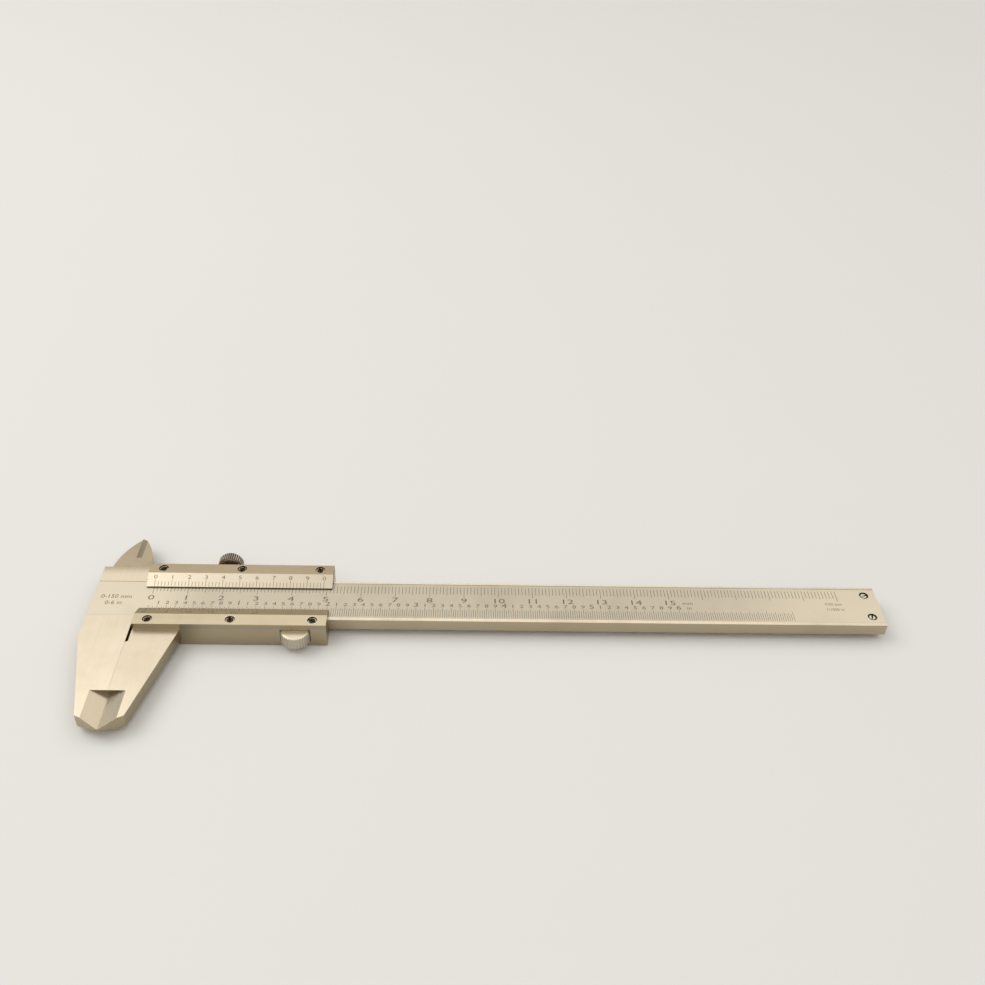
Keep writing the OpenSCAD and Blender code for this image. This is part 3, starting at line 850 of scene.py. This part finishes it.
class CALIPER_OT_lock_screw(bpy.types.Operator):
    """Knurled locking screw with its threaded neck"""

    bl_idname = "caliper.lock_screw"
    bl_label = "Locking Screw"

    def execute(self, context):
        settings = context.scene.caliper
        low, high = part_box("lock_screw")
        radius = (high.x - low.x) / 2
        span = high.y - low.y
        depth = 0.00018
        teeth = 36
        tooth = knurl(radius, depth, teeth)
        crown = 0.0007
        knurl_length = 0.0024
        chamfer = 0.00035
        collar = 0.0007
        collar_radius = 0.0020
        thread = 0.00145
        thread_depth = 0.0002
        tip = 0.0003
        pitch = 0.0005
        recess = 0.0001
        recess_start, recess_end = 0.0027, 0.0030
        head_start = span - crown - knurl_length - chamfer
        shoulder = radius - depth
        profile = [(0.0, thread - tip), (tip, thread)]
        turns = int((head_start - collar - 2 * tip) / pitch)
        for turn in range(turns):
            root = tip + (turn + 0.5) * pitch
            profile += [(root, thread - thread_depth), (root + pitch / 2, thread)]
        profile += [
            (head_start - collar, thread), (head_start - collar, collar_radius),
            (head_start - recess, collar_radius), (head_start, collar_radius + 1.5 * recess),
            (head_start, recess_start), (head_start + recess, recess_start + recess / 2),
            (head_start + recess, recess_end - recess / 2), (head_start, recess_end),
            (head_start, shoulder - chamfer),
            (head_start + chamfer, tooth), (head_start + chamfer + knurl_length, tooth),
            (span - crown * 0.55, shoulder - crown * 0.2), (span - crown * 0.2, shoulder - crown * 0.8),
            (span, shoulder - crown * 2.2),
        ]
        axis = Vector(((low.x + high.x) / 2, low.y, (low.z + high.z) / 2))
        pose = Matrix.Translation(axis) @ Matrix.Rotation(math.radians(-90), 4, "X")
        bm, rings = turned(profile, teeth * 6, pose)
        bm.faces.new(list(reversed(rings[0])))
        bm.faces.new(rings[-1])
        piece = new_piece("lock_screw_knurled", mesh_of(bm, "lock_screw_knurled"),
                          finish(settings, "knurl_steel"), "lock_screw", "knurled_steel", "lock_screw")
        weighted_normals(piece)
        return {"FINISHED"}


class CALIPER_OT_main_scales(bpy.types.Operator):
    """Metric and inch scales on the beam"""

    bl_idname = "caliper.main_scales"
    bl_label = "Main Scales"

    def execute(self, context):
        settings = context.scene.caliper
        sizes = settings.marks
        zero = sizes.zero / MM
        metric_top, inch_foot = 6.0, -6.5
        lines = Marks(settings, "beam", 100.0, 0.0)
        for step in range(201):
            lines.line(zero + step, pick(step, (10, 1.9), (5, 2.6), (1, 3.0)), metric_top)
        lines.piece(settings, "metric_scale_lines", "beam", "satin_steel")
        numbers = Marks(settings, "beam", 100.0, 0.0)
        for step in range(16):
            numbers.words(str(step), zero + 10 * step, 0.40, sizes.number_height, 1.45)
        numbers.words("mm", zero + 155.3, 0.10, 0.4 * sizes.number_height, 1.2)
        numbers.piece(settings, "metric_scale_numbers", "beam", "satin_steel")
        lines = Marks(settings, "beam", 100.0, 0.0)
        per_inch = 40
        for step in range(int(7.3 * per_inch) + 1):
            reach = pick(step, (4, -2.9), (2, -3.4), (1, -3.7))
            lines.line(zero + INCH * step / per_inch, inch_foot, reach, 0.85)
        lines.piece(settings, "inch_scale_lines", "beam", "satin_steel")
        numbers = Marks(settings, "beam", 100.0, 0.0)
        for step in range(1, 61):
            whole, tenth = divmod(step, 10)
            spot = zero + INCH * step / 10
            if tenth:
                numbers.words(str(tenth), spot, -1.75, sizes.tenth_height, 1.35)
            else:
                numbers.words(str(whole), spot, -1.55, sizes.inch_number_height, 1.35)
        numbers.words("in", zero + INCH * 6.12, -1.75, 0.65 * sizes.inch_number_height, 1.2)
        numbers.piece(settings, "inch_scale_numbers", "beam", "satin_steel")
        return {"FINISHED"}


class CALIPER_OT_verniers(bpy.types.Operator):
    """Metric and inch vernier scales on the sloping plates"""

    bl_idname = "caliper.verniers"
    bl_label = "Vernier Scales"

    def execute(self, context):
        settings = context.scene.caliper
        sizes = settings.marks
        zero = sizes.zero / MM
        metric = Marks(settings, "metric_vernier_plate", 30.0, 6.0)
        for step in range(51):
            metric.line(zero + 0.98 * step, 4.6, pick(step, (5, 6.6), (1, 6.0)), 0.9)
        for step in range(11):
            metric.words(str(step % 10), zero + 4.9 * step, 7.4, sizes.vernier_height, 1.35)
        metric.piece(settings, "metric_vernier_marks", "slider", "bright_plate")
        inch = Marks(settings, "inch_vernier_plate", 30.0, -6.0)
        division = 49 * INCH / 1000
        for step in range(26):
            inch.line(zero + division * step, -4.6, pick(step, (5, -6.6), (1, -6.0)), 0.9)
        for step in range(0, 26, 5):
            inch.words(str(step), zero + division * step, -7.4, sizes.vernier_height, 1.2)
        inch.piece(settings, "inch_vernier_marks", "slider", "bright_plate")
        return {"FINISHED"}


class CALIPER_OT_lettering(bpy.types.Operator):
    """Plain lettering that gives the range and the least readings"""

    bl_idname = "caliper.lettering"
    bl_label = "Lettering"

    def execute(self, context):
        settings = context.scene.caliper
        words = Marks(settings, "beam", 100.0, 0.0)
        words.words("0.02 mm", 201.5, 0.6, 0.0010)
        words.words("1/1000 in", 201.5, -1.6, 0.0010)
        words.piece(settings, "reading_lettering", "beam", "satin_steel")
        words = Marks(settings, "beam", -6.0, 0.0)
        words.words("0-150 mm", -6.8, 0.7, 0.0015)
        words.words("0-6 in", -7.1, -1.9, 0.0015)
        words.piece(settings, "range_lettering", "beam", "satin_steel")
        return {"FINISHED"}


FLOOR_GAP = 0.00005
FLOOR_REACH = 4.0


class CALIPER_OT_stage(bpy.types.Operator):
    """Pale floor, soft light and the camera"""

    bl_idname = "caliper.stage"
    bl_label = "Stage"

    def execute(self, context):
        settings = context.scene.caliper
        scene = context.scene
        scene.view_settings.view_transform = "Standard"
        self.floor(settings)
        self.sky(scene)
        self.lamp("key_light", (-0.85, 0.25, 1.05), 0.9, 5.0, (1.0, 0.96, 0.90))
        self.camera(settings.view)
        return {"FINISHED"}

    def floor(self, settings):
        """A wide floor just under the caliper."""
        bm = bmesh.new()
        bmesh.ops.create_grid(bm, x_segments=1, y_segments=1, size=FLOOR_REACH)
        mesh = bpy.data.meshes.new("floor")
        bm.to_mesh(mesh)
        bm.free()
        floor = bpy.data.objects.new("floor", mesh)
        floor.location.z = cad_box[0].z - FLOOR_GAP
        floor.data.materials.append(finish(settings, "pale_floor"))
        bpy.context.scene.collection.objects.link(floor)

    def sky(self, scene):
        """Even studio light that is brighter overhead than at the horizon."""
        world = bpy.data.worlds.new("studio")
        world.use_nodes = True
        scene.world = world
        recipe = Recipe(world.node_tree)
        height = recipe.parts(recipe.coordinates("Generated"))[2]
        shade = recipe.node("ShaderNodeValToRGB", {"stops": (
            (0.0, (0.20, 0.19, 0.18, 1.0)),
            (0.30, (0.26, 0.25, 0.23, 1.0)),
            (0.56, (0.46, 0.43, 0.38, 1.0)),
            (0.74, (1.0, 0.95, 0.87, 1.0)),
            (0.86, (0.95, 0.91, 0.84, 1.0)),
            (1.0, (0.72, 0.69, 0.63, 1.0)),
        )}, {0: height})
        light = recipe.node("ShaderNodeBackground", None, {"Color": shade, "Strength": 1.20})
        recipe.node("ShaderNodeOutputWorld", None, {0: light})

    def lamp(self, name, offset, size, power, tint):
        """A square soft light that looks at the middle of the caliper."""
        light = bpy.data.lights.new(name, "AREA")
        light.shape = "SQUARE"
        light.size = size
        light.energy = power
        light.color = tint
        holder = bpy.data.objects.new(name, light)
        holder.location = offset
        holder.rotation_mode = "QUATERNION"
        holder.rotation_quaternion = (-Vector(offset)).to_track_quat("-Z", "Y")
        bpy.context.scene.collection.objects.link(holder)

    def camera(self, view):
        """A camera that looks down at the caliper from in front."""
        up_angle, turn, roll = view.elevation, view.azimuth, view.roll
        back = Vector((
            math.sin(turn) * math.cos(up_angle), -math.cos(turn) * math.cos(up_angle), math.sin(up_angle)
        ))
        right = Vector((math.cos(turn), math.sin(turn), 0.0))
        up = back.cross(right)
        tilted_right = right * math.cos(roll) + up * math.sin(roll)
        tilted_up = up * math.cos(roll) - right * math.sin(roll)
        aim = place(view.along / MM, view.above / MM)
        lens = bpy.data.cameras.new("camera")
        lens.lens = view.lens
        lens.clip_start = 0.01
        lens.clip_end = 20.0
        camera = bpy.data.objects.new("camera", lens)
        turned_axes = Matrix((tilted_right, tilted_up, back)).transposed().to_4x4()
        camera.matrix_world = Matrix.Translation(aim + back * view.distance) @ turned_axes
        bpy.context.scene.collection.objects.link(camera)
        bpy.context.scene.camera = camera


OPERATORS = (
    CALIPER_OT_beam,
    CALIPER_OT_slider,
    CALIPER_OT_plates,
    CALIPER_OT_screws,
    CALIPER_OT_small_parts,
    CALIPER_OT_roller,
    CALIPER_OT_lock_screw,
    CALIPER_OT_main_scales,
    CALIPER_OT_verniers,
    CALIPER_OT_lettering,
    CALIPER_OT_stage,
)


class CALIPER_PT_sidebar(bpy.types.Panel):
    """Lists the caliper's settings and the operators that build it"""

    bl_idname = "CALIPER_PT_sidebar"
    bl_label = "Vernier Caliper"
    bl_space_type = "VIEW_3D"
    bl_region_type = "UI"
    bl_category = "Caliper"

    def draw(self, context):
        settings = context.scene.caliper
        for title in ("edges", "marks", "colours", "view"):
            box = self.layout.box()
            box.label(text=title.capitalize())
            group = getattr(settings, title)
            for name in group.__annotations__:
                box.prop(group, name)
        for operator in OPERATORS:
            self.layout.operator(operator.bl_idname)


CLASSES = (
    CaliperEdges,
    CaliperMarks,
    CaliperColours,
    CaliperView,
    CaliperSettings,
    *OPERATORS,
    CALIPER_PT_sidebar,
)


def register():
    """Adds the classes and the scene's settings."""
    for made in CLASSES:
        bpy.utils.register_class(made)
    bpy.types.Scene.caliper = PointerProperty(type=CaliperSettings)


def unregister():
    """Takes them away again."""
    del bpy.types.Scene.caliper
    for made in reversed(CLASSES):
        bpy.utils.unregister_class(made)


def main():
    """Builds the caliper and its stage."""
    register()
    for operator in OPERATORS:
        group, name = operator.bl_idname.split(".")
        getattr(getattr(bpy.ops, group), name)()


if __name__ == "__main__":
    main()
